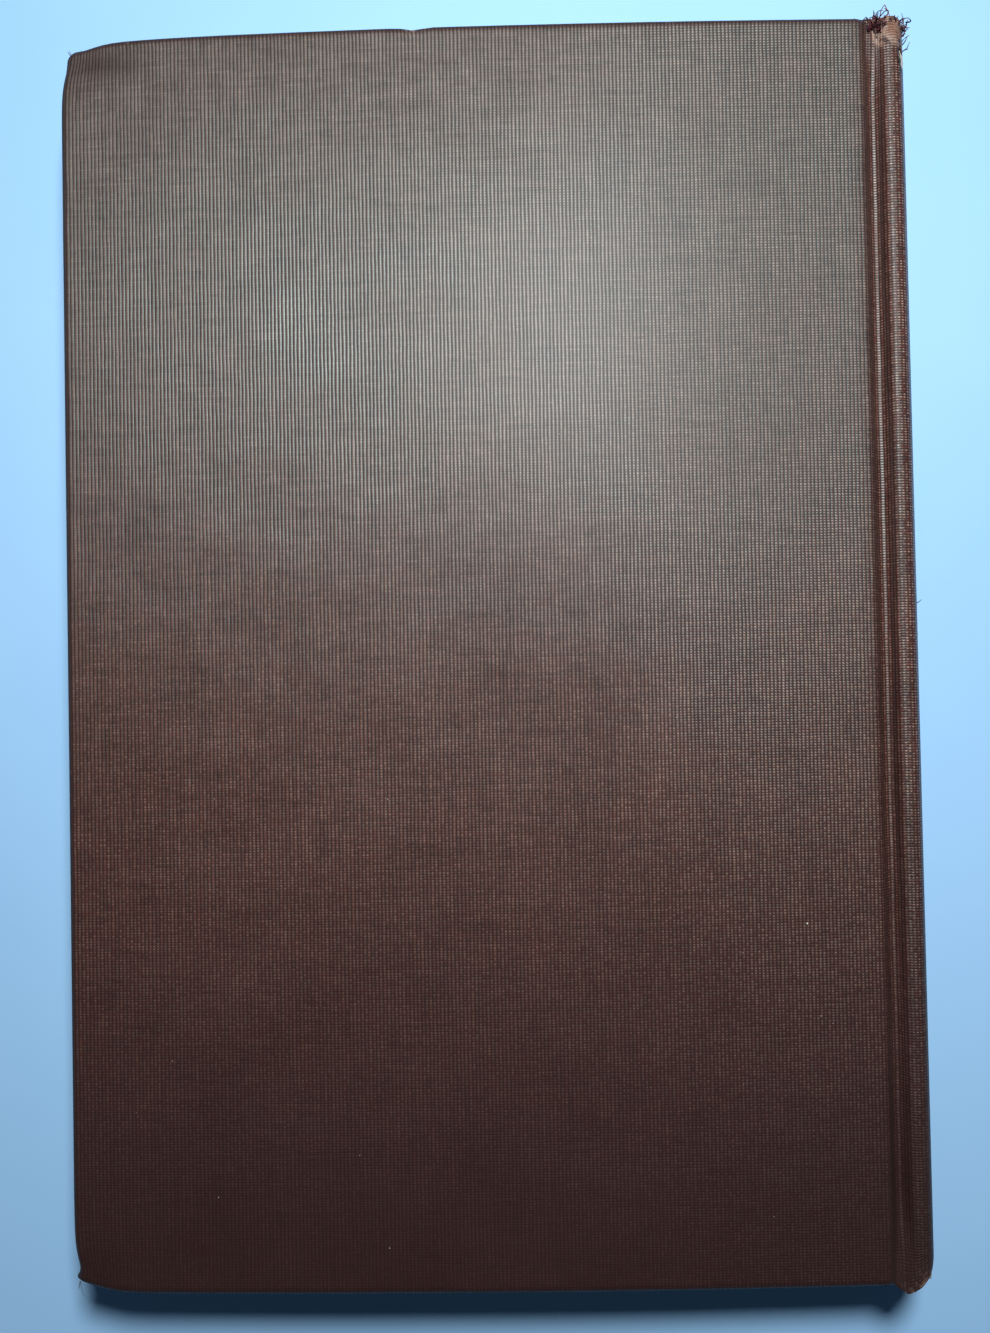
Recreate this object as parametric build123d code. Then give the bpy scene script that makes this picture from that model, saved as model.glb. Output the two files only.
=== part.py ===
"""A cloth-bound hardback book, closed and lying on its front cover.

X runs from the fore-edge (-) to the spine (+), Y from the tail (-) to the head (+), and Z up from the
table. The origin is on the table, under the middle of the book. All sizes are in millimetres.

The pages are a rounded and backed block, whose outer folds are bent over into two shoulders. Mull, a
coarse gauze, and a strip of lining paper are glued to its back. The case is one piece of book cloth
over two boards and a spine card, and an endpaper at each side joins it to the block. Cloth, mull and
endpapers bend at the two joints, so each is divided there into a node that moves with the cover and a
node that stays with the pages. Each cover swings about a line inside its shoulder.
"""

import os
from math import atan2, cos, sin, sqrt, tan

from build123d import *

# Overall sizes
case_height = 194.0  # head to tail, over the cloth
case_width = 132.9  # fore-edge to the back of the spine, over the cloth
block_thickness = 13.2  # the pages and both flyleaves

# Materials as bought
board_thickness = 2.3
cloth_thickness = 0.4
endpaper_thickness = 0.15
mull_thickness = 0.25
lining_thickness = 0.2
spine_card_thickness = 0.6

# How the book is bound
square = 3.2  # how far the covers stand out past the pages
turn_in = 15.0  # cloth folded on to the inside of a cover
mull_reach = 25.0  # mull glued on to the inside of a cover
mull_end_margin = 15.0  # pages left bare of mull at head and tail
lining_end_margin = 2.0
lining_side_margin = 0.8  # lining left off at each shoulder
card_side_margin = 0.9  # spine card left off at each shoulder
round_depth = 2.2  # how far the back of the block is rounded out
fore_edge_hollow = 2.2  # how far the fore-edge is hollowed
shoulder_slope_run = 1.3  # how far along X the inside of a shoulder leans
shoulder_round = 0.7  # the cloth's bend over a shoulder
cover_bow = 1.2  # how far the middle of the back cover has warped away from the pages
edge_round = 0.7  # cloth pulled over the outer edge of a board
inner_edge_round = 0.2
corner_wear = 1.6  # corners of the covers, rubbed round

# Where the covers swing
hinge_inset = 0.1  # hinge line in from the shoulder's ridge
hinge_rise = 1.2  # hinge line above the face of the block

# Clearances
rest_gap = 0.15  # pages to the inside of a cover
fold_gap = 0.05  # mull to the cloth that lies over it
hollow_gap = 0.6  # block's back to the spine card
spine_drop = 0.1  # case over the shoulders, below the face of the cover
open_clearance = 0.5  # a cover laid open, to the back of the spine
strip_gap = 0.5  # cloth in the groove, to the edge of the cover

# Heights, measured from the middle of the block's thickness
block_half = block_thickness / 2
page_half = block_half - endpaper_thickness
cover_inside = block_half + rest_gap
cover_depth = endpaper_thickness + cloth_thickness + board_thickness + cloth_thickness
cover_outside = cover_inside + cover_depth
shoulder_top = cover_outside - spine_drop
sheets_over_shoulder = 2 * endpaper_thickness + mull_thickness
ridge_height = shoulder_top - cloth_thickness - fold_gap - sheets_over_shoulder
hinge_height = block_half + hinge_rise

# Layers inside a cover, measured outwards from its inside face
paste_low, paste_high = 0.0, endpaper_thickness
turn_high = paste_high + cloth_thickness
board_high = turn_high + board_thickness

# The round of the back: one centre, and a radius for each layer
block_radius = (ridge_height**2 + round_depth**2) / (2 * round_depth)
mull_radius = block_radius + mull_thickness
lining_radius = mull_radius + lining_thickness
card_inner_radius = lining_radius + hollow_gap
card_radius = card_inner_radius + spine_card_thickness
spine_radius = card_radius + cloth_thickness

# Places along X
fore_edge = -case_width / 2
round_centre = case_width / 2 - spine_radius
ridge_x = round_centre + block_radius - round_depth
root_x = ridge_x - shoulder_slope_run
hinge_x = ridge_x - hinge_inset
page_fore_edge = fore_edge + square
slope = atan2(ridge_height - page_half, shoulder_slope_run)

# A cover laid open stands beside the round of the spine, so its joint edge is that far from the hinge
open_low_edge = 2 * hinge_height - cover_outside + edge_round
spine_beside_edge = round_centre + sqrt(spine_radius**2 - open_low_edge**2)
cover_edge = hinge_x - (spine_beside_edge + open_clearance - hinge_x)
board_edge = cover_edge - cloth_thickness
strip_edge = cover_edge + strip_gap
cover_middle = (fore_edge + cover_edge) / 2
bow_radius = ((cover_edge - fore_edge) ** 2 / 4 + cover_bow**2) / (2 * cover_bow)

page_height = case_height - 2 * square
board_height = case_height - 2 * cloth_thickness
table = -cover_outside
far = 4 * case_width  # larger than the book, for cutting with


def section(outline):
    """A face in the XZ plane from a closed outline drawn in x and height."""
    return Plane.XZ * make_face(outline)


def along_spine(face, length):
    """A section carried along the book, evenly to head and tail."""
    return extrude(face, amount=length / 2, both=True)


def disc(radius):
    return Plane.XZ * Pos(round_centre, 0) * Circle(radius)


def inside_round(radius):
    """Everything the round of the back encloses at a radius, and all that lies nearer the fore-edge."""
    rest = section(Polyline((-far, -far), (root_x, -far), (root_x, far), (-far, far), close=True))
    return disc(radius) + rest


def box(x_low, x_high, y_low, y_high, z_low, z_high):
    size = Box(x_high - x_low, y_high - y_low, z_high - z_low)
    return Pos((x_low + x_high) / 2, (y_low + y_high) / 2, (z_low + z_high) / 2) * size


def half_space_up(x_low):
    """Everything above the middle of the block and past x_low, as a section."""
    return section(Polyline((x_low, 0), (far, 0), (far, far), (x_low, far), close=True))


def block_section(offset, left, concave=0.0):
    """The block's section grown outwards by offset, from x = left to the round of its back."""
    radius = block_radius + offset
    top = page_half + offset
    root = root_x - offset * tan(slope / 2)
    # where the shoulder's inside face, moved out by offset, meets the round
    along, away = cos(slope), sin(slope)
    start_x = root_x - offset * away - round_centre
    start_z = page_half + offset * along
    b = start_x * along + start_z * away
    c = start_x**2 + start_z**2 - radius**2
    reach = -b + sqrt(b * b - c)
    ridge = (round_centre + start_x + reach * along, start_z + reach * away)
    outline = Polyline((left, top), (root, top), ridge)
    outline += ThreePointArc(ridge, (round_centre + radius, 0), (ridge[0], -ridge[1]))
    outline += Polyline((ridge[0], -ridge[1]), (root, -top), (left, -top))
    if concave:
        outline += ThreePointArc((left, -top), (left + concave, 0), (left, top))
    else:
        outline += Line((left, -top), (left, top))
    return section(outline)


def case_section(offset):
    """What the case's spine encloses, grown outwards by offset: grooves, shoulders and round."""
    radius = card_radius + offset
    groove = page_half + sheets_over_shoulder + offset
    top = shoulder_top - cloth_thickness + offset
    lie = sheets_over_shoulder + fold_gap + offset
    root = root_x - lie * tan(slope / 2)
    crest = root + (top - groove) / tan(slope)
    shoulder = round_centre + sqrt(radius**2 - top**2)
    left = strip_edge
    outline = Polyline((left, groove), (root, groove), (crest, top), (shoulder, top))
    outline += ThreePointArc((shoulder, top), (round_centre + radius, 0), (shoulder, -top))
    outline += Polyline((shoulder, -top), (crest, -top), (root, -groove), (left, -groove))
    outline += Line((left, -groove), (left, groove))
    face = section(outline)
    bends = [v for v in face.vertices() if abs(abs(v.Z) - top) < 1e-6]
    return fillet(bends, shoulder_round + offset)


def plate(x_low, x_high, height, corner=0.0):
    """A cover's outline seen from above, with its two fore-edge corners rounded."""
    outline = Pos((x_low + x_high) / 2, 0) * Rectangle(x_high - x_low, height)
    if corner:
        outline = fillet(outline.vertices().sort_by(Axis.X)[:2], corner)
    return outline


def under_bow(level, bow):
    """Everything below a cover's layer boundary: flat, or the top of a wide cylinder."""
    top = cover_inside + level
    if not bow:
        return box(-far, far, -far, far, 0, top)
    axis_height = top + bow - bow_radius
    roller = Cylinder(bow_radius, 2 * far, rotation=(90, 0, 0))
    return Pos(cover_middle, 0, axis_height) * roller


def layer(outline, low, high, bow):
    """One sheet of a cover, from level low to level high above the cover's inside face."""
    prism = extrude(Pos(0, 0, cover_inside - bow_radius / 100) * outline, bow_radius / 50)
    return (prism & under_bow(high, bow)) - under_bow(low, bow)


def cover_solids(bow):
    """The board, cloth, mull and pastedown of a cover that lies above the pages."""
    joint_window = cover_edge + turn_in
    board_face = plate(fore_edge + cloth_thickness, board_edge, board_height, corner_wear - cloth_thickness)
    board = layer(board_face, turn_high, board_high, bow)

    skin = layer(plate(fore_edge, cover_edge, case_height, corner_wear), paste_high, cover_depth, bow)
    faces = skin.faces().sort_by(Axis.Z)
    skin = fillet(faces[-1].edges(), edge_round)
    skin = fillet(skin.faces().sort_by(Axis.Z)[0].edges(), inner_edge_round)
    window_height = case_height - 2 * turn_in
    window = plate(fore_edge + turn_in, joint_window, window_height)
    cloth = skin - board - layer(window, -cloth_thickness, turn_high, bow)
    bare_edge = plate(board_edge, joint_window, window_height)
    cloth -= layer(bare_edge, -cloth_thickness, turn_high, bow)

    mull_height = page_height - 2 * mull_end_margin
    mull_low = turn_high - mull_thickness
    mull = layer(plate(board_edge - mull_reach, board_edge, mull_height), mull_low, turn_high, bow)

    paste = layer(plate(page_fore_edge, board_edge, page_height), paste_low, turn_high, bow)
    step = endpaper_thickness
    down = plate(fore_edge + turn_in + step, joint_window, window_height - 2 * step)
    over_mull = plate(board_edge - mull_reach - step, joint_window, mull_height + 2 * step)
    paste -= layer(down - over_mull, paste_low - step, turn_high - step, bow)
    paste -= layer(over_mull, paste_low - step, mull_low - step, bow)
    return {"board": board, "cloth": cloth, "mull_flap": mull, "pastedown": paste - cloth - mull}


def front_cover():
    """The cover on the table, flat, turned over to face down."""
    return {name: mirror(solid, about=Plane.XY) for name, solid in cover_solids(0.0).items()}


def back_cover():
    """The cover on top, warped a little along its height."""
    return cover_solids(cover_bow)


def pages():
    return along_spine(block_section(0.0, page_fore_edge, fore_edge_hollow), page_height)


def flyleaf():
    """The free leaf on the upper face of the block, and the sheet's fold over the shoulder."""
    within = inside_round(block_radius) & half_space_up(page_fore_edge)
    leaf = block_section(endpaper_thickness, page_fore_edge) & within
    fold = block_section(2 * endpaper_thickness, strip_edge) & within
    sheet = (leaf + fold) - block_section(0.0, page_fore_edge - square)
    return along_spine(sheet, page_height)


def mull():
    """Gauze round the back of the block, over both shoulders and into the grooves."""
    outer = block_section(sheets_over_shoulder, strip_edge) & inside_round(mull_radius)
    inner = block_section(2 * endpaper_thickness, strip_edge - square) & inside_round(block_radius)
    return along_spine((outer & case_section(-fold_gap)) - inner, page_height - 2 * mull_end_margin)


def back_band(inner, outer, side_margin, length):
    """A strip bent round the back of the block, between two radii."""
    reach = ridge_height - side_margin
    keep = section(Polyline((ridge_x, -reach), (far, -reach), (far, reach), (ridge_x, reach), close=True))
    return along_spine((disc(outer) - disc(inner)) & keep, length)


def lining():
    length = page_height - 2 * lining_end_margin
    return back_band(mull_radius, lining_radius, lining_side_margin, length)


def spine_card():
    return back_band(card_inner_radius, card_radius, card_side_margin, board_height)


def spine_cloth():
    """Cloth over the spine card and down into both grooves, turned in at head and tail."""
    outside = case_section(cloth_thickness)
    wrap = along_spine(outside - case_section(0.0), case_height)
    folded = back_band(card_inner_radius - cloth_thickness, card_inner_radius, card_side_margin, case_height)
    ends = back_band(card_inner_radius, card_radius, card_side_margin, case_height)
    middle = case_height / 2 - turn_in
    turned = folded - box(-far, far, -middle, middle, -far, far)
    return wrap + turned + (ends - spine_card())


def write(name, solid):
    """Lifts a solid on to the table and writes it under its node's name."""
    export_step(Pos(0, 0, -table) * solid, f"parts/{name}.step")


os.makedirs("parts", exist_ok=True)
upper_flyleaf = flyleaf()
write("page_block", pages())
write("back_flyleaf", upper_flyleaf)
write("front_flyleaf", mirror(upper_flyleaf, about=Plane.XY))
write("spine_mull", mull())
write("spine_lining", lining())
write("spine_card", spine_card())
write("spine_cloth", spine_cloth())
for side, solids in (("front", front_cover()), ("back", back_cover())):
    for piece, shape in solids.items():
        write(f"{side}_{piece}", shape)
print("hinge x", round(hinge_x, 3), "height", round(hinge_height - table, 3), "and", round(-hinge_height - table, 3))
print("cover edge x", round(cover_edge, 3), "book thickness", round(cover_outside - table + cover_bow, 3))
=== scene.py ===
"""A cloth-bound hardback book, closed, lying on its front cover.

X runs from the fore-edge to the spine, Y from the tail to the head and Z up, all in metres. The book is
put together here as at the bindery: pages, endpapers, mull, spine stiffening and boards, then the case
cloth, and last the wear that the years have left at its edges.
"""

import math

import bmesh
import bpy
import numpy as np
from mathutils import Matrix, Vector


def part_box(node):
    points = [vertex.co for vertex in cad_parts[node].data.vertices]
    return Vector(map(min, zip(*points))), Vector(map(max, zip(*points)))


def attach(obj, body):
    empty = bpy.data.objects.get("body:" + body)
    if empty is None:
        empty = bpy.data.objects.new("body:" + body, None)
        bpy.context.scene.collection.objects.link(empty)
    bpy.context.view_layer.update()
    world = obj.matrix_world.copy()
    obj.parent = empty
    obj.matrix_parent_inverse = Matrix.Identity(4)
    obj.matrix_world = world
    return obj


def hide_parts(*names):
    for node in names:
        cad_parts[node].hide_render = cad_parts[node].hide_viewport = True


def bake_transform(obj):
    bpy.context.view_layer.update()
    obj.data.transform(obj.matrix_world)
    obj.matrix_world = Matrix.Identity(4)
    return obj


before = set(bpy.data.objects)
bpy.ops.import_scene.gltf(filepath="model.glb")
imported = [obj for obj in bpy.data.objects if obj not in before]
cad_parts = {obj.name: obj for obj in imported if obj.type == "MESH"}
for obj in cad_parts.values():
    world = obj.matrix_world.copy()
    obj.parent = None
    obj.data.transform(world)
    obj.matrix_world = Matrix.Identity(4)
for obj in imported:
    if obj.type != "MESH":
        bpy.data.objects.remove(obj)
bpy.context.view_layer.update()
mm = 0.001

# ---------------------------------------------------------------------------------------------------
# Pages
# Bulky cream book paper, folded, sewn and glued in sections, then rounded and backed, so the leaves
# fan out into a shoulder at each side of the spine. The cut edges have toned and gathered dust.
# ---------------------------------------------------------------------------------------------------
pages_low, pages_high = (np.array(corner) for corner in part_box("page_block"))
leaves = 120
section_leaves = 8
page_half = 6.45 * mm
ridge_half = (pages_high[2] - pages_low[2]) / 2
mid_height = (pages_high[2] + pages_low[2]) / 2
block_radius = 19.10 * mm
block_centre = pages_high[0] - block_radius
shoulder_root = 61.30 * mm
fore_edge_hollow = 2.2 * mm
page_cream = (0.70, 0.60, 0.43, 1)
page_toned = (0.47, 0.34, 0.19, 1)
page_shadow = (0.23, 0.16, 0.09, 1)


def new_object(name, points, faces, uv=None, masks=None):
    """A smooth mesh object from arrays of points and faces, with a UV map in metres and point masks."""
    mesh = bpy.data.meshes.new(name)
    mesh.from_pydata(points.tolist(), [], [[int(i) for i in face if i >= 0] for face in faces.tolist()])
    mesh.shade_smooth()
    if uv is not None:
        corner = np.zeros(len(mesh.loops), np.int32)
        mesh.loops.foreach_get("vertex_index", corner)
        mesh.uv_layers.new(name="UVMap").data.foreach_set("uv", uv[corner].astype(np.float32).ravel())
    for mask, values in (masks or {}).items():
        layer = mesh.attributes.new(mask, "FLOAT", "POINT")
        layer.data.foreach_set("value", np.clip(values, 0, 1).astype(np.float32))
    piece = bpy.data.objects.new(name, mesh)
    bpy.context.scene.collection.objects.link(piece)
    return piece


def grid_faces(rows, columns, start=0):
    """The quads of a grid of points numbered row by row from start."""
    corner = start + np.arange(rows - 1)[:, None] * columns + np.arange(columns - 1)
    corner = corner.ravel()
    return np.column_stack([corner, corner + 1, corner + columns + 1, corner + columns])


def smooth_step(low, high, values):
    """Runs from 0 at low to 1 at high on the curve 3t^2 - 2t^3, and stays level outside them."""
    t = np.clip((values - low) / (high - low), 0, 1)
    return t * t * (3 - 2 * t)


def page_surface(t, s, y, jitter):
    """A point of the block. t runs across the thickness from -1 to 1, s from fore-edge to back.

    x runs from a hollow fore-edge to the arc of the back; the height is t times the half thickness,
    which swells to the ridge height past the shoulder root. The jitter moves single leaves out or in.
    """
    back_height = t * ridge_half
    back_x = block_centre + np.sqrt(np.maximum(block_radius**2 - back_height**2, 0))
    fore_x = pages_low[0] + fore_edge_hollow * (1 - t * t)
    x = fore_x + (back_x - fore_x) * s
    root = shoulder_root - 5.0 * mm * (1 - np.abs(t))
    ramp = np.clip((x - root) / np.maximum(back_x - root, 0.1 * mm), 0, 1)
    ramp = ramp ** (1.0 + 0.6 * (1 - np.abs(t)))
    z = mid_height + t * (page_half + (ridge_half - page_half) * ramp)
    x = x - jitter * np.clip(1 - 30 * s, 0, 1)
    end = np.clip((np.abs(y) / pages_high[1] - 0.995) / 0.005, 0, 1)
    return np.stack([x, y - np.sign(y) * jitter * end, z], axis=-1)


rng = np.random.default_rng(11)
thickness_steps, width_steps, height_steps = leaves + 1, 46, 74
t_axis = np.linspace(-1, 1, thickness_steps)
s_axis = np.concatenate([np.linspace(0, 0.86, 26), np.linspace(0.88, 1, width_steps - 26)])
y_axis = np.linspace(pages_low[1], pages_high[1], height_steps)
leaf_jitter = rng.uniform(0, 0.09, thickness_steps) * mm
section_jitter = np.repeat(rng.uniform(0, 0.14, leaves // section_leaves + 1), section_leaves)
leaf_jitter = leaf_jitter + section_jitter[:thickness_steps] * mm
leaf_jitter[[0, -1]] = 0
side_grids = []
for fixed, value in (("s", 0), ("s", 1), ("y", 0), ("y", -1), ("t", 0), ("t", -1)):
    if fixed == "s":
        tt, yy = np.meshgrid(t_axis, y_axis, indexing="ij")
        ss = np.full_like(tt, float(value))
    elif fixed == "y":
        tt, ss = np.meshgrid(t_axis, s_axis, indexing="ij")
        yy = np.full_like(tt, y_axis[value])
    else:
        ss, yy = np.meshgrid(s_axis, y_axis, indexing="ij")
        tt = np.full_like(ss, t_axis[value])
    along = yy if fixed == "s" else ss * (pages_high[0] - pages_low[0])
    jitter = np.interp(tt, t_axis, leaf_jitter) * (1 + 0.3 * np.sin(yy * 90 + ss * 60 + tt * 40))
    jitter = jitter + 0.05 * mm * np.abs(np.sin(yy * 46)) * (1 - tt * tt)
    points = page_surface(tt, ss, yy, jitter)
    quads = grid_faces(*tt.shape)
    if (fixed, value) in (("s", 1), ("y", 0), ("t", 0)):
        quads = quads[:, ::-1]
    uv = np.stack([along.ravel(), (tt.ravel() + 1) * 0.5 * leaves * mm], axis=-1)
    side_grids.append((points.reshape(-1, 3), quads, uv))
offsets = np.cumsum([0] + [len(points) for points, _, _ in side_grids[:-1]])
pages = new_object(
    "pages",
    np.concatenate([points for points, _, _ in side_grids]),
    np.concatenate([quads + offset for (_, quads, _), offset in zip(side_grids, offsets)]),
    np.concatenate([uv for _, _, uv in side_grids]),
)
closed = bmesh.new()
closed.from_mesh(pages.data)
bmesh.ops.remove_doubles(closed, verts=closed.verts, dist=0.001 * mm)
closed.to_mesh(pages.data)
closed.free()


class Shader:
    """A material's node tree, built one node at a time by short calls."""

    def __init__(self, name):
        self.material = bpy.data.materials.new(name)
        self.material.use_nodes = True
        self.tree = self.material.node_tree
        self.surface = self.tree.nodes["Principled BSDF"]

    def put(self, socket, value):
        """Links a node's output to a socket, or writes a constant into it."""
        if isinstance(value, bpy.types.NodeSocket):
            self.tree.links.new(value, socket)
        else:
            socket.default_value = value

    def node(self, kind, output=0, settings=None, **inputs):
        """A node of any kind. Inputs are named with _ for a space, or i0, i1 by number."""
        made = self.tree.nodes.new(kind)
        for key, value in (settings or {}).items():
            setattr(made, key, value)
        for key, value in inputs.items():
            by_number = key[0] == "i" and key[1:].isdigit()
            self.put(made.inputs[int(key[1:]) if by_number else key.replace("_", " ")], value)
        return made.outputs[output]

    def math(self, operation, a, b=0.0, c=0.0):
        """One Math node."""
        return self.node("ShaderNodeMath", settings={"operation": operation}, i0=a, i1=b, i2=c)

    def mix(self, share, a, b):
        """A colour between a and b."""
        made = self.tree.nodes.new("ShaderNodeMix")
        made.data_type = "RGBA"
        for number, value in ((0, share), (6, a), (7, b)):
            self.put(made.inputs[number], value)
        return made.outputs[2]

    def spread(self, value, low, high, to_low=0.0, to_high=1.0):
        """A value's range low..high mapped to another range, held at the ends."""
        return self.node("ShaderNodeMapRange", i0=value, i1=low, i2=high, i3=to_low, i4=to_high)

    def noise(self, vector, scale, detail=3.0, roughness=0.55):
        """Smooth noise from 0 to 1."""
        return self.node(
            "ShaderNodeTexNoise", Vector=vector, Scale=scale, Detail=detail, Roughness=roughness
        )

    def stretched(self, vector, x, y, z=1.0):
        """A vector with its parts multiplied, for noise that is longer one way."""
        kind = {"vector_type": "POINT"}
        return self.node("ShaderNodeMapping", settings=kind, Vector=vector, Scale=(x, y, z))

    def finish(self, **inputs):
        """Writes the surface's own sockets."""
        for key, value in inputs.items():
            self.put(self.surface.inputs[key.replace("_", " ")], value)
        return self.material


def page_material():
    """Cream paper. Fine dark lines follow the leaves, and the cut edges are browner in cloudy patches."""
    m = Shader("toned book paper")
    uv = m.node("ShaderNodeUVMap", settings={"uv_map": "UVMap"})
    place = m.node("ShaderNodeTexCoord", output=3)
    fine = m.noise(m.stretched(uv, 90, 9000), 1.0, 2.0, 0.7)
    coarse = m.noise(m.stretched(uv, 25, 1100), 1.0, 3.0, 0.6)
    cloud = m.noise(place, 45.0, 4.0, 0.6)
    foxing = m.noise(place, 260.0, 2.0, 0.5)
    height = m.math("ADD", m.math("MULTIPLY", fine, 0.6), m.math("MULTIPLY", coarse, 0.5))
    tone = m.spread(cloud, 0.35, 0.7, 0.25, 0.85)
    colour = m.mix(tone, page_cream, page_toned)
    colour = m.mix(m.spread(height, 0.62, 0.38, 0.0, 0.75), colour, page_shadow)
    colour = m.mix(m.spread(foxing, 0.70, 0.80, 0.0, 0.5), colour, page_toned)
    bump = m.node("ShaderNodeBump", Strength=1.0, Distance=0.00012, Height=height)
    return m.finish(Base_Color=colour, Roughness=0.9, Specular_IOR_Level=0.25, Normal=bump)


pages.data.materials.append(page_material())
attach(pages, "text_block")
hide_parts("page_block")

# ---------------------------------------------------------------------------------------------------
# Endpapers
# One folded sheet of cartridge paper at each side. The flyleaf is tipped to the pages and lies on them;
# the other half is pasted down inside the cover, over the turned-in cloth, which shows through as a step.
# ---------------------------------------------------------------------------------------------------
paper_half = pages_high[1]
cover_bow = 1.2 * mm
cover_low, cover_high = (np.array(corner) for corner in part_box("back_cloth"))
fore_edge, joint_edge = cover_low[0], cover_high[0]
cover_middle = (fore_edge + joint_edge) / 2
bow_radius = ((joint_edge - fore_edge) ** 2 / 4 + cover_bow**2) / (2 * cover_bow)
turn_in = 15.0 * mm
endpaper_cream = (0.74, 0.66, 0.50, 1)
endpaper_brown = (0.52, 0.39, 0.23, 1)


def bow(x, side):
    """How far a cover stands off its flat: an arc across the back cover, nothing on the front."""
    if side < 0:
        return np.zeros_like(x)
    inside = np.clip(x, fore_edge, joint_edge) - cover_middle
    return np.sqrt(bow_radius**2 - inside**2) - bow_radius + cover_bow


def smooth_line(corners, step, softness, reach=3):
    """Evenly spaced points along straight runs, each then averaged with its neighbours to round the
    turns. Softness is how far along the line, in the same units, the averaging reaches."""
    corners = np.asarray(corners, float)
    run = np.concatenate([[0], np.cumsum(np.linalg.norm(np.diff(corners, axis=0), axis=1))])
    count = max(int(run[-1] / step), 8)
    at = np.linspace(0, run[-1], count)
    line = np.column_stack([np.interp(at, run, corners[:, 0]), np.interp(at, run, corners[:, 1])])
    half = max(int(softness / step), 1)
    window = np.hanning(2 * half + 3)[1:-1]
    window /= window.sum()
    for _ in range(reach):
        before = 2 * line[0] - line[half:0:-1]
        after = 2 * line[-1] - line[-2 : -half - 2 : -1]
        padded = np.concatenate([before, line, after])
        line = np.column_stack([np.convolve(padded[:, i], window, mode="valid") for i in range(2)])
    return line


def strip_piece(name, line, y_rows, uv_start=0.0, extra=None):
    """A sheet swept along Y: every point of a line in X and Z, repeated at each y."""
    columns = len(line)
    run = np.concatenate([[0], np.cumsum(np.linalg.norm(np.diff(line, axis=0), axis=1))]) + uv_start
    xx, yy = np.meshgrid(line[:, 0], y_rows)
    zz = np.broadcast_to(line[:, 1], xx.shape).copy()
    if extra is not None:
        zz = zz + extra(xx, yy)
    points = np.stack([xx, yy, zz], axis=-1).reshape(-1, 3)
    uv = np.stack([np.broadcast_to(run, xx.shape).ravel(), yy.ravel()], axis=-1)
    return new_object(name, points, grid_faces(len(y_rows), columns), uv)


def thicken(piece, thickness, offset):
    """A wall of the sheet's own thickness, closed round its edges."""
    solid = piece.modifiers.new("thickness", "SOLIDIFY")
    solid.thickness = thickness
    solid.offset = offset
    solid.use_even_offset = False
    return piece


def endpaper_material(name):
    """Cream paper with an age-browned margin, faint foxing and the tooth of the sheet."""
    m = Shader(name)
    place = m.node("ShaderNodeTexCoord", output=3)
    x, y, _ = (m.node("ShaderNodeSeparateXYZ", output=i, Vector=place) for i in range(3))
    edge_y = m.spread(m.math("ABSOLUTE", y), 0.070, 0.094, 0.0, 0.8)
    edge_x = m.spread(x, -0.045, -0.063, 0.0, 0.8)
    gutter = m.spread(x, 0.040, 0.058, 0.0, 0.6)
    margin = m.math("MAXIMUM", m.math("MAXIMUM", edge_y, edge_x), gutter)
    cloud = m.noise(place, 30.0, 5.0, 0.6)
    share = m.math("MULTIPLY", m.math("ADD", margin, 0.15), m.spread(cloud, 0.3, 0.7, 0.4, 1.1))
    colour = m.mix(share, endpaper_cream, endpaper_brown)
    spots = m.spread(m.noise(place, 420.0, 2.0, 0.5), 0.72, 0.80, 0.0, 0.6)
    colour = m.mix(spots, colour, (0.33, 0.20, 0.10, 1))
    fibre = m.noise(place, 2600.0, 3.0, 0.6)
    bump = m.node("ShaderNodeBump", Strength=0.6, Distance=0.00006, Height=fibre)
    return m.finish(Base_Color=colour, Roughness=0.88, Specular_IOR_Level=0.25, Normal=bump)


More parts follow.
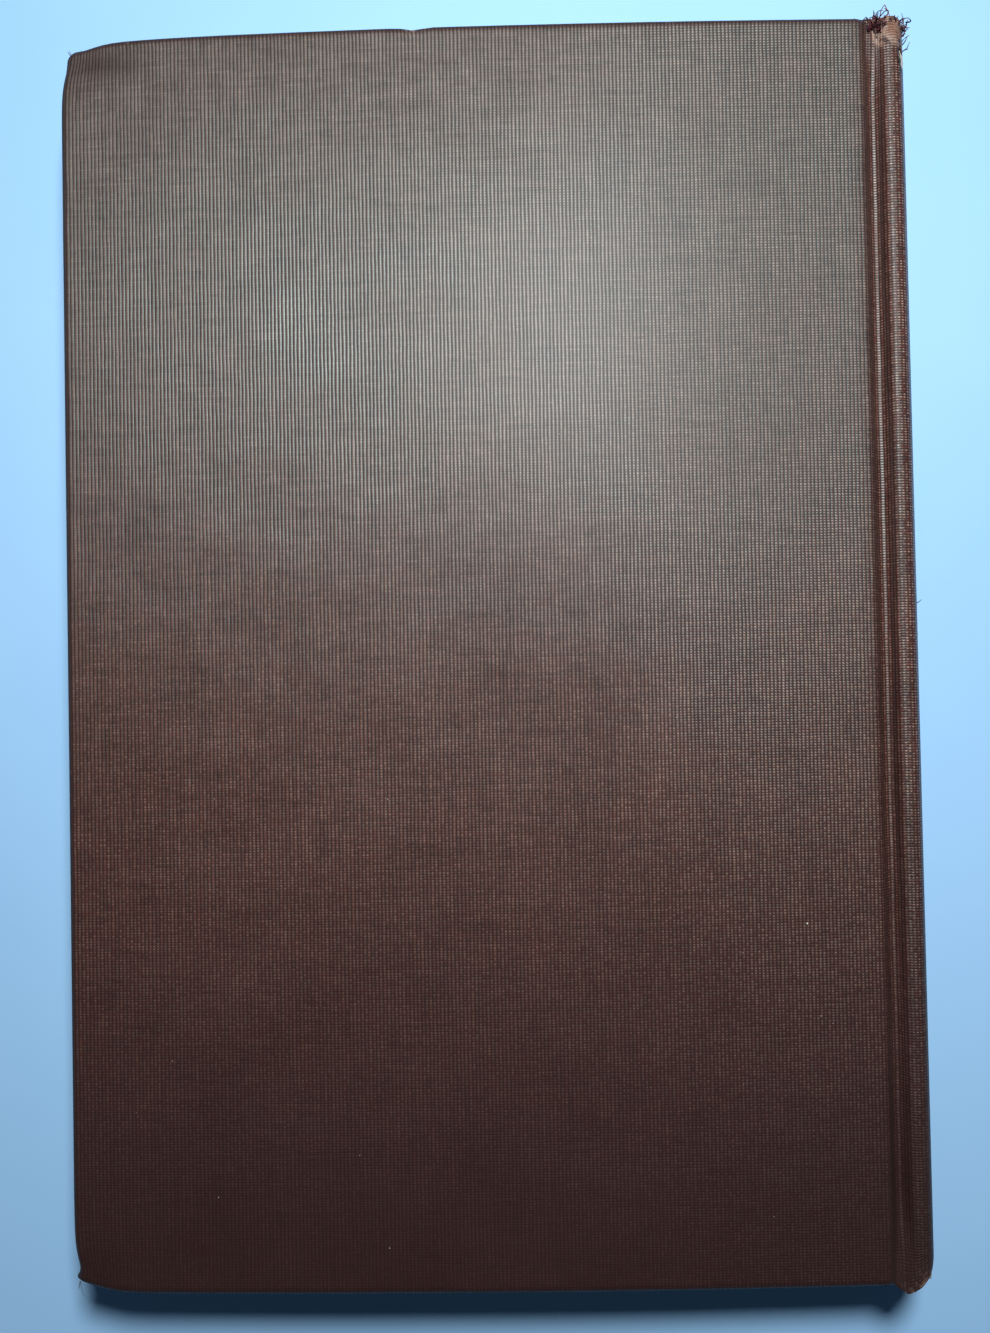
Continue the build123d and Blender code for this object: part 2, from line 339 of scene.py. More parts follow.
endpaper_finish = endpaper_material("aged endpaper")
paper_rows = np.linspace(-paper_half, paper_half, 66)
for side, name in ((1, "back"), (-1, "front")):
    leaf_z = page_half + 0.04 * mm
    leaf_line = [
        (pages_low[0] + 0.3 * mm, leaf_z),
        (61.15 * mm, leaf_z + 0.02 * mm),
        (62.0 * mm, ridge_half - 0.05 * mm),
    ]
    leaf_line = smooth_line(leaf_line, 0.5 * mm, 0.6 * mm) * (1, side) + (0, mid_height)

    def leaf_sway(x, y, side=side):
        """A leaf never lies dead flat: it lifts a little along the fore-edge in long waves."""
        lift = smooth_step(20 * mm, -60 * mm, x) * (0.5 + 0.5 * np.sin(y * 45 + 1 + side))
        return side * 0.07 * mm * lift

    leaf = strip_piece(f"{name}_endpaper_flyleaf", leaf_line[::side], paper_rows, 0.0, leaf_sway)
    thicken(leaf, 0.07 * mm, -1)
    leaf.data.materials.append(endpaper_finish)
    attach(leaf, "text_block")
    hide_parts(f"{name}_flyleaf")

    paste_low = 6.83 * mm
    paste_line = [
        (pages_low[0] + 0.1 * mm, paste_low),
        (57.7 * mm, paste_low),
        (61.05 * mm, paste_low + 0.02 * mm),
        (61.9 * mm, ridge_half - 0.1 * mm),
    ]
    paste_line = smooth_line(paste_line, 0.7 * mm, 0.6 * mm) * (1, side) + (0, mid_height)

    def paste_relief(x, y, side=side):
        """The pastedown follows the cover's bow, and sinks between the turned-in cloth by its thickness."""
        inner = smooth_step(fore_edge + turn_in - 0.5 * mm, fore_edge + turn_in + 0.5 * mm, x)
        inner = inner * smooth_step(57.7 * mm, 56.7 * mm, x)
        inner = inner * smooth_step(97 * mm - turn_in + 0.5 * mm, 97 * mm - turn_in - 0.5 * mm, np.abs(y))
        mull = smooth_step(32.0 * mm, 33.0 * mm, x) * smooth_step(79.3 * mm, 78.5 * mm, np.abs(y))
        carried = smooth_step(59.2 * mm, 57.7 * mm, x)
        return side * (bow(x, side) * carried + 0.30 * mm * inner * (1 - 0.6 * mull))

    paste = strip_piece(f"{name}_endpaper_pastedown", paste_line[::side], paper_rows, 0.0, paste_relief)
    thicken(paste, 0.07 * mm, 1)
    paste.data.materials.append(endpaper_finish)
    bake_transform(paste)
    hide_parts(f"{name}_pastedown")

# ---------------------------------------------------------------------------------------------------
# Mull
# An open starched gauze, glued round the back of the pages. It crosses both joints under the endpapers
# and is pasted to the inside of the boards: it is what really holds the book in its case.
# ---------------------------------------------------------------------------------------------------
mull_radius = block_radius + 0.12 * mm
mull_half = 78.8 * mm
mull_flap_end = 32.85 * mm


def mull_material():
    """Straw-coloured gauze: dark square holes between thin threads."""
    m = Shader("starched mull")
    uv = m.node("ShaderNodeUVMap", settings={"uv_map": "UVMap"})
    u, v = (m.node("ShaderNodeSeparateXYZ", output=i, Vector=uv) for i in range(2))
    lines = [m.math("ABSOLUTE", m.math("SINE", m.math("MULTIPLY", w, 3500.0))) for w in (u, v)]
    open_weave = m.math("MULTIPLY", lines[0], lines[1])
    colour = m.mix(m.spread(open_weave, 0.45, 0.7), (0.60, 0.52, 0.38, 1), (0.24, 0.18, 0.11, 1))
    threads_up = m.math("SUBTRACT", 1.0, open_weave)
    bump = m.node("ShaderNodeBump", Strength=0.8, Distance=0.0001, Height=threads_up)
    return m.finish(Base_Color=colour, Roughness=0.9, Normal=bump)


mull_finish = mull_material()
mull_rows = np.linspace(-mull_half, mull_half, 54)
for side, name in ((1, "back"), (-1, "front")):
    widest = math.asin((ridge_half - 0.1 * mm) / mull_radius)
    turn = np.linspace(0, widest, 16)
    arc = np.column_stack([block_centre + mull_radius * np.cos(turn), mull_radius * np.sin(turn)])
    mull_line = arc.tolist() + [
        (61.75 * mm, ridge_half + 0.10 * mm),
        (60.85 * mm, 7.08 * mm),
        (57.8 * mm, 7.06 * mm),
        (mull_flap_end, 7.0 * mm),
    ]
    mull_line = smooth_line(mull_line, 0.5 * mm, 0.3 * mm) * (1, side) + (0, mid_height)

    def mull_bow(x, y, side=side):
        """The flap follows the cover's bow, and lies a little higher under the board."""
        carried = smooth_step(59.2 * mm, 57.7 * mm, x)
        return side * (bow(x, side) + 0.16 * mm) * carried

    gauze = strip_piece(f"{name}_mull", mull_line[::-side], mull_rows, 0.0, mull_bow)
    thicken(gauze, 0.08 * mm, 0)
    gauze.data.materials.append(mull_finish)
    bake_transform(gauze)
    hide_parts(f"{name}_mull_flap")
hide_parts("spine_mull")

# ---------------------------------------------------------------------------------------------------
# Spine lining, spine card and boards
# Brown kraft paper is glued over the mull. The card and the two boards are grey pulp board, cut to size
# and glued to the cloth. The boards have bowed and had their corners bumped together with the cloth.
# ---------------------------------------------------------------------------------------------------


def pulp_material(name, light, dark, scale):
    """Rough pulp: two greys or browns mixed by fibre noise, with a low fibrous bump."""
    m = Shader(name)
    place = m.node("ShaderNodeTexCoord", output=3)
    fibre = m.noise(m.stretched(place, 1, 3), scale, 5.0, 0.7)
    colour = m.mix(m.spread(fibre, 0.35, 0.65), dark, light)
    bump = m.node("ShaderNodeBump", Strength=0.7, Distance=0.0001, Height=fibre)
    return m.finish(Base_Color=colour, Roughness=0.92, Specular_IOR_Level=0.2, Normal=bump)


grey_board = pulp_material("grey pulp board", (0.30, 0.28, 0.23, 1), (0.17, 0.155, 0.125, 1), 900.0)
kraft_paper = pulp_material("kraft lining paper", (0.33, 0.22, 0.12, 1), (0.20, 0.125, 0.065, 1), 1500.0)
for node, finish in (("spine_card", grey_board), ("spine_lining", kraft_paper)):
    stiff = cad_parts[node]
    stiff.data.materials.clear()
    stiff.data.materials.append(finish)

board_thickness = 2.3 * mm
board_corner = 2.2 * mm
board_top = 9.55 * mm
board_low, board_high = (np.array(corner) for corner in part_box("front_board"))


def board_slab(side):
    """A slab: the same grid in X and Y at two heights, joined by a wall round the border. Near each corner
    the square grid is drawn in to a quarter circle: a point's offset is scaled by its longer part over
    its length."""
    margin = 0.06 * mm
    board_width = board_high[0] - board_low[0]
    columns = np.concatenate([np.linspace(0, 6, 9)[:-1] * mm, np.linspace(6 * mm, board_width, 44)])
    x_axis = board_low[0] + margin + columns * (1 - 2 * margin / columns[-1])
    rows = np.concatenate([np.linspace(0, 6, 9)[:-1], np.linspace(6, 90, 30)]) * mm
    half = board_high[1] - margin
    y_axis = np.concatenate([rows[:-1] - half, [0], half - rows[:-1][::-1]])
    xx, yy = np.meshgrid(x_axis, y_axis)
    in_x = np.clip(x_axis[0] + board_corner - xx, 0, None)
    in_y = np.clip(np.abs(yy) - half + board_corner, 0, None)
    longer, length = np.maximum(in_x, in_y), np.hypot(in_x, in_y)
    draw_in = np.divide(longer, length, out=np.ones_like(length), where=length > 0)
    xx = xx + in_x * (1 - draw_in)
    yy = yy - np.sign(yy) * in_y * (1 - draw_in)
    heights = (board_top, board_top - board_thickness)
    layers = [np.stack([xx, yy, np.full_like(xx, side * z)], axis=-1) for z in heights]
    rows_count, columns_count = xx.shape
    size = rows_count * columns_count
    index = np.arange(size).reshape(rows_count, columns_count)
    border = np.concatenate([index[0, :-1], index[:-1, -1], index[-1, :0:-1], index[:0:-1, 0]])
    following = np.roll(border, -1)
    wall = np.column_stack([following, border, border + size, following + size])
    upper = grid_faces(rows_count, columns_count)
    lower = grid_faces(rows_count, columns_count, size)[:, ::-1]
    faces = np.concatenate([upper, lower, wall])
    if side < 0:
        faces = faces[:, ::-1]
    return np.concatenate([layer.reshape(-1, 3) for layer in layers]), faces


# ---------------------------------------------------------------------------------------------------
# Case cloth
# One sheet of ribbed, starch-filled book cloth, glued over both boards and the spine card, pressed into the
# joints and turned in all round. It is made here in two halves that meet along the middle of the spine.
# ---------------------------------------------------------------------------------------------------
cloth_thickness = 0.33 * mm
edge_inset = 1.6 * mm
case_half = cover_high[1]
case_radius = 21.15 * mm
case_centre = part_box("spine_cloth")[1][0] - case_radius
cover_wrap = 3.05 * mm
groove_x, crease_x, second_crease_x = 60.05 * mm, 61.1 * mm, 60.35 * mm
board_slope_x, groove_beads_x = 58.75 * mm, 60.15 * mm
corner_points = 7
rib_pitch = 0.58 * mm
pick_pitch = 0.41 * mm
bead_depth = 0.13
thread_height = 0.064 * mm
cloth_gap_shade = (0.024, 0.008, 0.007, 1)
cloth_base = (0.090, 0.026, 0.019, 1)
cloth_crown = (0.140, 0.052, 0.037, 1)
cloth_rubbed = (0.40, 0.31, 0.235, 1)
cloth_worn = (0.27, 0.135, 0.085, 1)
cloth_dust_and_sheen = (0.103, 0.094, 0.083, 1)
cloth_frayed = (0.44, 0.31, 0.25, 1)
cloth_painted_shade = (0.026, 0.007, 0.006, 1)


def wavy(a, b, seed, waves=7, longest=0.12, shortest=0.006):
    """Smooth unevenness from -1 to 1 over two coordinates: a sum of sine waves of random direction,
    with shorter waves weaker in step with their length."""
    draw = np.random.default_rng(seed)
    total = np.zeros(np.broadcast(a, b).shape)
    weight = 0.0
    for length in np.geomspace(longest, shortest, waves):
        angle, phase = draw.uniform(0, 2 * math.pi, 2)
        distance = a * math.cos(angle) + b * math.sin(angle)
        total = total + length**0.7 * np.sin(2 * math.pi * distance / length + phase)
        weight += length**0.7
    return total / weight * 1.7


def case_line(side):
    """The case's outer line in X and height, from inside the fore-edge to just past the spine's middle.

    Over the board it is flat or bowed, then it slopes off the board's edge into the groove, climbs the
    shoulder, and follows the round of the spine.
    """
    top = 10.0 * mm
    start = fore_edge + edge_inset
    flat_end = 57.55 * mm
    flat = np.linspace(start, flat_end, 74)
    over_board = np.column_stack([flat, np.full_like(flat, top)])
    joint = np.array(
        [
            (57.55, 10.0),
            (58.05, 9.98),
            (58.65, 9.25),
            (59.15, 8.35),
            (59.65, 7.88),
            (60.2, 7.80),
            (60.6, 8.05),
            (61.0, 8.85),
            (61.5, 9.62),
            (62.1, 9.88),
            (63.2, 9.90),
            (63.9, 9.62),
        ]
    ) * mm
    angles = np.linspace(math.asin(9.2 * mm / case_radius), -0.035, 34)
    spine_arc = np.column_stack([case_centre + case_radius * np.cos(angles), case_radius * np.sin(angles)])
    fine = smooth_line(np.vstack([joint, spine_arc]), 0.33 * mm, 0.45 * mm, 2)
    fine[-2:, 0] -= np.array([0.015, 0.045]) * mm
    line = np.vstack([over_board[:-1], fine])
    return np.column_stack([line[:, 0], side * line[:, 1]])


def case_half_cloth(side):
    """One half of the case cloth. Its outer face is a grid of the case's line by rows in Y. From the
    grid's border a second grid runs outwards, over the edge, down its side and back in underneath."""
    line = case_line(side)
    run = np.concatenate([[0], np.cumsum(np.linalg.norm(np.diff(line, axis=0), axis=1))])
    run = run - run[-3]
    rows = case_half - edge_inset
    tail_rows = np.linspace(-rows, -rows + 8 * mm, 16)[:-1]
    middle_rows = np.linspace(-rows + 8 * mm, rows - 12 * mm, 96)[:-1]
    y_rows = np.concatenate([tail_rows, middle_rows, np.linspace(rows - 12 * mm, rows, 28)])
    count_x, count_y = len(line), len(y_rows)
    along = np.gradient(line, axis=0)
    along /= np.linalg.norm(along, axis=1)[:, None]
    normal = np.column_stack([-along[:, 1], along[:, 0]]) * side
    xx, yy = np.meshgrid(line[:, 0], y_rows)
    points = np.stack([xx, yy, np.broadcast_to(line[:, 1], xx.shape)], axis=-1)
    uv = np.stack([np.broadcast_to(run, xx.shape), yy], axis=-1)
    up_x, up_z = (np.broadcast_to(part, xx.shape) for part in normal.T)
    up = np.stack([up_x, np.zeros_like(xx), up_z], axis=-1)
    # the border, from the spine's middle along the head, round the fore-edge and back along the tail
    turn = np.linspace(0, math.pi / 2, corner_points)
    head = [(count_y - 1, i) for i in range(count_x - 1, 0, -1)]
    fore = [(j, 0) for j in range(count_y - 2, 0, -1)]
    tail = [(0, i) for i in range(1, count_x)]
    fans = [(count_y - 1, 0)] * corner_points, [(0, 0)] * corner_points
    border = np.array(head + fans[0] + fore + fans[1] + tail)
    out = np.zeros((len(border), 3))
    n_head, n_fore = len(head), len(fore)
    out[:n_head, 1] = 1
    second = n_head + corner_points + n_fore
    head_fan, tail_fan = slice(n_head, n_head + corner_points), slice(second, second + corner_points)
    out[head_fan, 0], out[head_fan, 1] = -np.sin(turn), np.cos(turn)
    out[n_head + corner_points : second, 0] = -1
    out[tail_fan, 0], out[tail_fan, 1] = -np.cos(turn), -np.sin(turn)
    out[second + corner_points :, 1] = -1
    base = points[border[:, 0], border[:, 1]]
    base_up = up[border[:, 0], border[:, 1]]
    base_uv = uv[border[:, 0], border[:, 1]]
    # how thick the turned-in edge is: the board, then bare cloth in the joint, then the spine card
    x_border = base[:, 0]
    on_round = smooth_step(63.5 * mm, 64.7 * mm, x_border)
    thick = cover_wrap + (0.55 * mm - cover_wrap) * smooth_step(57.7 * mm, 59.3 * mm, x_border)
    thick = thick + (1.35 * mm - 0.55 * mm) * on_round
    soft = np.minimum(1.15 * mm, thick * 0.48)
    quarter = np.linspace(0, math.pi / 2, 6)
    steps_out, steps_down = [], []
    for a in quarter:
        steps_out.append(edge_inset - soft + soft * math.sin(a))
        steps_down.append(soft * (1 - math.cos(a)))
    for share in (0.35, 0.65):
        steps_out.append(np.full_like(soft, edge_inset))
        steps_down.append(soft + (thick - 1.6 * soft) * share)
    for a in quarter[1:]:
        steps_out.append(edge_inset - 0.6 * soft * (1 - math.cos(a)))
        steps_down.append(thick - 0.6 * soft * (1 - math.sin(a)))
    depth = np.where(base[:, 0] > 59.3 * mm, 12.5 * mm, turn_in)
    # at a corner the surplus cloth is cut away, so the turn-in ends before its folds would cross
    for fan in (head_fan, tail_fan):
        depth[fan] = 1.9 * mm + edge_inset - 0.6 * soft[fan]
    for share in (0.12, 0.5, 1.0):
        steps_out.append(edge_inset - 0.6 * soft - (depth - 2 * mm) * share)
        steps_down.append(thick)
    steps_out, steps_down = np.array(steps_out), np.array(steps_down)
    rings = base[None] + steps_out[..., None] * out[None] - steps_down[..., None] * base_up[None]
    travelled = np.cumsum(
        np.hypot(np.diff(steps_out, axis=0, prepend=0), np.diff(steps_down, axis=0, prepend=0)), axis=0
    )
    rings_uv = base_uv[None] + travelled[..., None] * out[None, :, :2]
    ring_count, border_count = rings.shape[:2]
    core = count_x * count_y
    border_index = border[:, 0] * count_x + border[:, 1]
    first = np.arange(border_count) + core
    faces = [grid_faces(count_y, count_x)]
    link = np.column_stack([first[:-1], first[1:], border_index[1:], border_index[:-1]])
    link[link[:, 2] == link[:, 3], 3] = -1
    faces.append(link)
    faces.append(grid_faces(ring_count, border_count, core)[:, ::-1])
    points = np.concatenate([points.reshape(-1, 3), rings.reshape(-1, 3)])
    uv = np.concatenate([uv.reshape(-1, 2), rings_uv.reshape(-1, 2)])
    faces = np.concatenate(faces)
    ring_number = np.concatenate([np.zeros(core), np.repeat(np.arange(ring_count), border_count) + 1.0])
    if side < 0:
        faces = faces[:, ::-1]
    return points, faces, uv, ring_number


def wear_and_warp(points, ring_number, side):
    """Moves the cloth as age has: the bow, slack waves in the joint, bumped corners and a ragged head.

    Returns the moved points and the masks of wear, painted shade and a dark smudge that the cloth's finish
    reads.
    """
    x, y, z = points[:, 0].copy(), points[:, 1].copy(), points[:, 2].copy()
    # the groove runs out at the head and the tail
    ends = smooth_step(84 * mm, 96 * mm, np.abs(y)) * 0.72
    sunk = smooth_step(58.1 * mm, 59.5 * mm, x) * smooth_step(62.3 * mm, 61.1 * mm, x)
    z += ends * sunk * (ring_number < 6) * (side * 9.7 * mm + mid_height - z)
    carried = smooth_step(60.9 * mm, 58.5 * mm, x)
    z += side * bow(x, side) * carried
    z += side * 0.05 * mm * wavy(x, y, 5 + side) * carried
    groove = np.exp(-(((x - groove_x) / (1.3 * mm)) ** 2))
    z += side * 0.12 * mm * groove * wavy(x * 0.3, y, 21 + side, 6, 0.05, 0.008)
    jagged = 0.16 * mm * wavy(y, y * 0, 51 + side, 8, 0.05, 0.0012)
    # two pressed creases run head to tail beside the groove, never quite straight
    crease = np.exp(-(((x - crease_x - 0.12 * mm * np.sin(y * 60) - jagged) / (0.26 * mm)) ** 2))
    off_second = x - second_crease_x - 0.1 * mm * np.sin(y * 47 + 1) + jagged
    crease2 = np.exp(-((off_second / (0.2 * mm)) ** 2))
    uneven = 0.7 + 0.3 * wavy(y, y * 0, 31 + side, 5, 0.06, 0.01)
    z -= side * (0.30 * crease + 0.16 * crease2) * mm * uneven
    wear = np.zeros_like(x)
    outer = (ring_number > 0) & (ring_number < 12)
    for corner_x, corner_y, knock, reach in (
        (fore_edge, case_half, 1.15 * mm, 5.5 * mm),
        (fore_edge, -case_half, 0.7 * mm, 6 * mm),
    ):
        away = np.hypot(x - corner_x, y - corner_y)
        near = np.exp(-((away / reach) ** 2))
        x += knock * near * 0.75
        y -= np.sign(corner_y) * knock * near * 0.75
        z -= side * knock * near * 0.9 * (ring_number < 8)
        wear = np.maximum(wear, 0.8 * np.exp(-((away / (0.16 * reach)) ** 2)))
    edge = smooth_step(0.6, 2.6, ring_number) * smooth_step(13, 8, ring_number) * outer
    wear = np.maximum(wear, edge * 0.2)
    head_end = smooth_step(case_half - 8 * mm, case_half, y) * smooth_step(58.9 * mm, 60.9 * mm, x)
    tail_end = smooth_step(-case_half + 4 * mm, -case_half, y) * smooth_step(58.9 * mm, 60.9 * mm, x)
    rough = wavy(x + z, y * 0.2, 41 + side, 8, 0.012, 0.0012)
    y += head_end**2 * (0.5 * rough + 0.35) * mm
    z += side * head_end * 0.34 * mm * wavy(x, y, 43, 7, 0.01, 0.0012)
    y -= tail_end * (0.25 * rough + 0.15) * mm
    if side > 0:
        # the tail cap is pushed in over the round of the spine and pulled out over the groove
        cap = 3.2 * smooth_step(61.6 * mm, 66.0 * mm, x)
        cap = cap - 1.0 * np.exp(-(((x - 60.6 * mm) / (1.5 * mm)) ** 2))
        near_tail = smooth_step(-case_half + 7 * mm, -case_half, y)
        y += near_tail * cap * smooth_step(57.6 * mm, 59.4 * mm, x) * mm
        pinch = np.exp(-(((y + 93.6 * mm) / (2.4 * mm)) ** 2)) * np.exp(-(x - fore_edge) / (4.0 * mm))
        tip = np.exp(-((np.hypot(x - fore_edge, y + case_half) / (1.6 * mm)) ** 2))
        x += (0.28 * pinch - 1.45 * tip) * mm
        y += 0.95 * mm * np.exp(-((np.hypot(x - fore_edge, y + case_half) / (3.6 * mm)) ** 2))
        y -= 0.45 * mm * np.exp(-(((x - fore_edge) / (15 * mm)) ** 2)) * smooth_step(60 * mm, 97 * mm, y)
        nick = np.exp(-(((x + 10.8 * mm) / (1.5 * mm)) ** 2)) * smooth_step(94.5 * mm, 96.5 * mm, y)
        y -= 0.4 * mm * nick
        wear = np.maximum(wear, nick * 0.6)
    wear = np.maximum(wear, smooth_step(0.12, 0.62, head_end) * 0.95)
    wear = np.maximum(wear, tail_end * 0.55)
    slope = np.exp(-(((x - board_slope_x) / (0.7 * mm)) ** 2))
    # painted shade on the board's edge where it slopes into the groove
    slope_painted_shade = 0.28 * slope
    crest = smooth_step(61.45 * mm, 61.95 * mm, x) * smooth_step(65.1 * mm, 64.4 * mm, x)
    crest = crest * (np.abs(z - mid_height) > 4 * mm)
    rubbed = np.maximum(crest, 0.6 * np.exp(-(((x - groove_beads_x) / (0.55 * mm)) ** 2)))
    over_board = x < 58.1 * mm
    rubbed = np.maximum(rubbed, 0.75 * smooth_step(0 * mm, 57 * mm, x) * over_board)
    beaded = np.maximum(smooth_step(0 * mm, 50 * mm, x), 0.75 * smooth_step(25 * mm, -60 * mm, y))
    pebbled = np.maximum(crest, 0.4 * slope)
    # painted shade: the cloth darkens towards the tail, where the light falls off
    painted_shade_and_smudge = smooth_step(5 * mm, -97 * mm, y) * 0.98
    smudge = np.exp(-(((x + 59.2 * mm) / (6.5 * mm)) ** 2) - ((y - 92.8 * mm) / (2.4 * mm)) ** 2)
    # painted shade along the rim of the turned edges, and a dark smudge near the head of the fore-edge
    painted_shade_and_smudge = np.maximum(painted_shade_and_smudge, np.maximum(edge, 0.7 * smudge))
    # painted shade in the pressed creases and on the board's slope
    painted_shade_and_smudge = np.maximum(np.maximum(painted_shade_and_smudge, 0.8 * crease), slope_painted_shade)
    if side < 0:
        z = np.maximum(z, 0.02 * mm)
    masks = {"wear": wear, "painted_shade_and_smudge": painted_shade_and_smudge, "rubbed": rubbed, "pebbled": pebbled, "beaded": beaded}
    # paler and greyer towards the head and away from the joint: partly dust, partly a painted sheen where
    # the light falls
    masks["dust_and_sheen"] = smooth_step(-60 * mm, 75 * mm, y) * smooth_step(59.5 * mm, 57 * mm, x)
    return np.column_stack([x, y, z]), masks


def cloth_material():
    """Plain-woven ribbed cloth, read from the UV map, which is in metres along and across the threads.

    Ribs run head to tail, each a rounded ridge with a bead where every crossing pick lifts it. The gaps
    carry painted shade and the crowns are lighter, single threads differ in shade, beads rub pale one by
    one, and worn places show orange-brown broken fibre. Towards the head the cloth turns paler and greyer,
    partly dust and partly a painted sheen, with painted highlight on the crowns and painted shade in the
    gaps; painted shade also darkens it towards the tail, along its edges, in the creases and on the board's
    slope, and a dark smudge lies near the head corner.
    """
    m = Shader("ribbed book cloth")
    uv = m.node("ShaderNodeUVMap", settings={"uv_map": "UVMap"})
    place = m.node("ShaderNodeTexCoord", output=3)
    u, v = (m.node("ShaderNodeSeparateXYZ", output=i, Vector=uv) for i in range(2))
    sway_u = m.noise(m.stretched(uv, 500, 160), 1.0, 2.0)
    sway_v = m.noise(m.stretched(uv, 160, 500), 1.0, 2.0)
    u = m.math("MULTIPLY_ADD", m.math("SUBTRACT", sway_u, 0.5), 0.00022, u)
    v = m.math("MULTIPLY_ADD", m.math("SUBTRACT", sway_v, 0.5), 0.00022, v)
    rib = m.math("DIVIDE", u, rib_pitch)
    pick = m.math("DIVIDE", v, pick_pitch)
    rib_number, pick_number = m.math("FLOOR", rib), m.math("FLOOR", pick)
    rib_round = m.math("ABSOLUTE", m.math("SINE", m.math("MULTIPLY", rib, math.pi)))
    pick_round = m.math("ABSOLUTE", m.math("SINE", m.math("MULTIPLY", pick, math.pi)))
    beaded = m.node("ShaderNodeAttribute", output=2, settings={"attribute_name": "beaded"})
    depth = m.math("MULTIPLY_ADD", beaded, 0.46, bead_depth)
    dip = m.math("MULTIPLY", depth, m.math("SUBTRACT", 1.0, pick_round))
    thread = m.math("MULTIPLY", rib_round, m.math("SUBTRACT", 1.0, dip))
    bead = m.math("MULTIPLY", rib_round, pick_round)
    pebbled = m.node("ShaderNodeAttribute", output=2, settings={"attribute_name": "pebbled"})
    pebble = m.math("MULTIPLY", pick_round, m.spread(rib_round, 0, 1, 0.65, 1.0))
    uneven = m.noise(m.stretched(uv, 1300, 1900), 1.0, 2.0)
    pebble = m.math("MULTIPLY", pebble, m.spread(uneven, 0.35, 0.6, 0.45, 1.0))
    thread = m.node("ShaderNodeMix", i0=pebbled, i2=thread, i3=pebble)
    # each thread's own shade, with thick and thin places along it
    one_rib, along_rib = m.math("MULTIPLY", rib_number, 7.31), m.math("MULTIPLY", v, 120.0)
    one_pick, along_pick = m.math("MULTIPLY", pick_number, 5.17), m.math("MULTIPLY", u, 120.0)
    rib_place = m.node("ShaderNodeCombineXYZ", X=one_rib, Y=along_rib)
    pick_place = m.node("ShaderNodeCombineXYZ", X=along_pick, Y=one_pick)
    slub = m.math("ADD", m.noise(rib_place, 1.0, 3.0, 0.7), m.noise(pick_place, 1.0, 3.0, 0.7))
    shade = m.spread(slub, 0.70, 1.30, 0.62, 1.38)
    cell = m.node("ShaderNodeCombineXYZ", X=rib_number, Y=pick_number)
    chance = m.node("ShaderNodeTexWhiteNoise", settings={"noise_dimensions": "2D"}, Vector=cell)
    cloud = m.noise(place, 70.0, 5.0, 0.62)
    patch = m.noise(place, 17.0, 3.0, 0.5)
    wear = m.node("ShaderNodeAttribute", output=2, settings={"attribute_name": "wear"})
    painted_shade_and_smudge = m.node("ShaderNodeAttribute", output=2, settings={"attribute_name": "painted_shade_and_smudge"})
    rubbed = m.node("ShaderNodeAttribute", output=2, settings={"attribute_name": "rubbed"})
    # painted shade: the gaps between the threads take a darker colour than their crowns
    colour = m.mix(m.spread(thread, 0.12, 0.70), cloth_gap_shade, cloth_base)
    colour = m.mix(m.spread(thread, 0.72, 1.0, 0.0, 0.8), colour, cloth_crown)
    fewest = m.math("MULTIPLY_ADD", beaded, -0.40, 0.45)
    lit = m.math("MULTIPLY", m.spread(chance, fewest, 1.0), m.spread(bead, 0.55, 0.92))
    colour = m.mix(m.math("MULTIPLY", lit, m.spread(rubbed, 0, 1, 0.42, 0.88)), colour, cloth_rubbed)
    tone = m.math("MULTIPLY", shade, m.spread(cloud, 0.3, 0.7, 0.88, 1.12))
    scale = {"operation": "SCALE"}
    scaled = m.node("ShaderNodeVectorMath", settings=scale, Vector=colour, Scale=tone)
    dust_and_sheen = m.node("ShaderNodeAttribute", output=2, settings={"attribute_name": "dust_and_sheen"})
    # painted highlight on the thread crowns and painted shade in the gaps of the paler colour
    crown_highlight_gap_shade = m.math("MULTIPLY", tone, m.spread(thread, 0.1, 1.0, 0.10, 1.45))
    pale = m.node("ShaderNodeVectorMath", settings=scale, Vector=cloth_dust_and_sheen[:3], Scale=crown_highlight_gap_shade)
    # towards the head the colour turns pale grey-brown: partly dust, partly a painted sheen
    scaled = m.mix(m.math("MULTIPLY", dust_and_sheen, 0.62), scaled, pale)
    broken = m.math("ADD", wear, m.spread(m.noise(place, 900.0, 4.0, 0.7), 0.25, 0.75, -0.42, 0.30))
    worn = m.math("MULTIPLY", m.spread(broken, 0.30, 0.85), m.spread(thread, 0.1, 0.8, 0.35, 1.0))
    # painted shade: darker towards the tail, along the edges, in the creases and on the board's slope, with
    # a dark smudge near the head corner
    colour = m.mix(m.math("MULTIPLY", painted_shade_and_smudge, 0.9), scaled, cloth_painted_shade)
    frayed = m.mix(m.spread(m.noise(place, 420.0, 4.0, 0.65), 0.42, 0.62), cloth_worn, cloth_frayed)
    frayed = m.mix(m.spread(m.noise(place, 700.0, 3.0, 0.6), 0.43, 0.35), frayed, (0.05, 0.022, 0.016, 1))
    colour = m.mix(worn, colour, frayed)
    rough = m.spread(patch, 0.35, 0.65, 0.351, 0.395)
    rough = m.math("ADD", rough, m.spread(cloud, 0.3, 0.7, -0.03, 0.05))
    rough = m.math("ADD", rough, m.math("MULTIPLY", m.math("MAXIMUM", worn, painted_shade_and_smudge), 0.25))
    rough = m.math("ADD", rough, m.spread(thread, 0.6, 0.1, 0.0, 0.2))
    height = m.math("MULTIPLY_ADD", m.noise(m.stretched(uv, 5000, 5000), 1.0, 2.0), 0.18, thread)
    fuzz = m.math("MULTIPLY", worn, m.noise(place, 1700.0, 4.0, 0.7))
    height = m.math("MULTIPLY_ADD", fuzz, 1.8, height)
    weave = m.node("ShaderNodeBump", Strength=1.0, Distance=thread_height, Height=height)
    loose = m.noise(place, 60.0, 3.0, 0.5)
    slack = m.node("ShaderNodeBump", Strength=1.0, Distance=0.0004, Height=loose, Normal=weave)
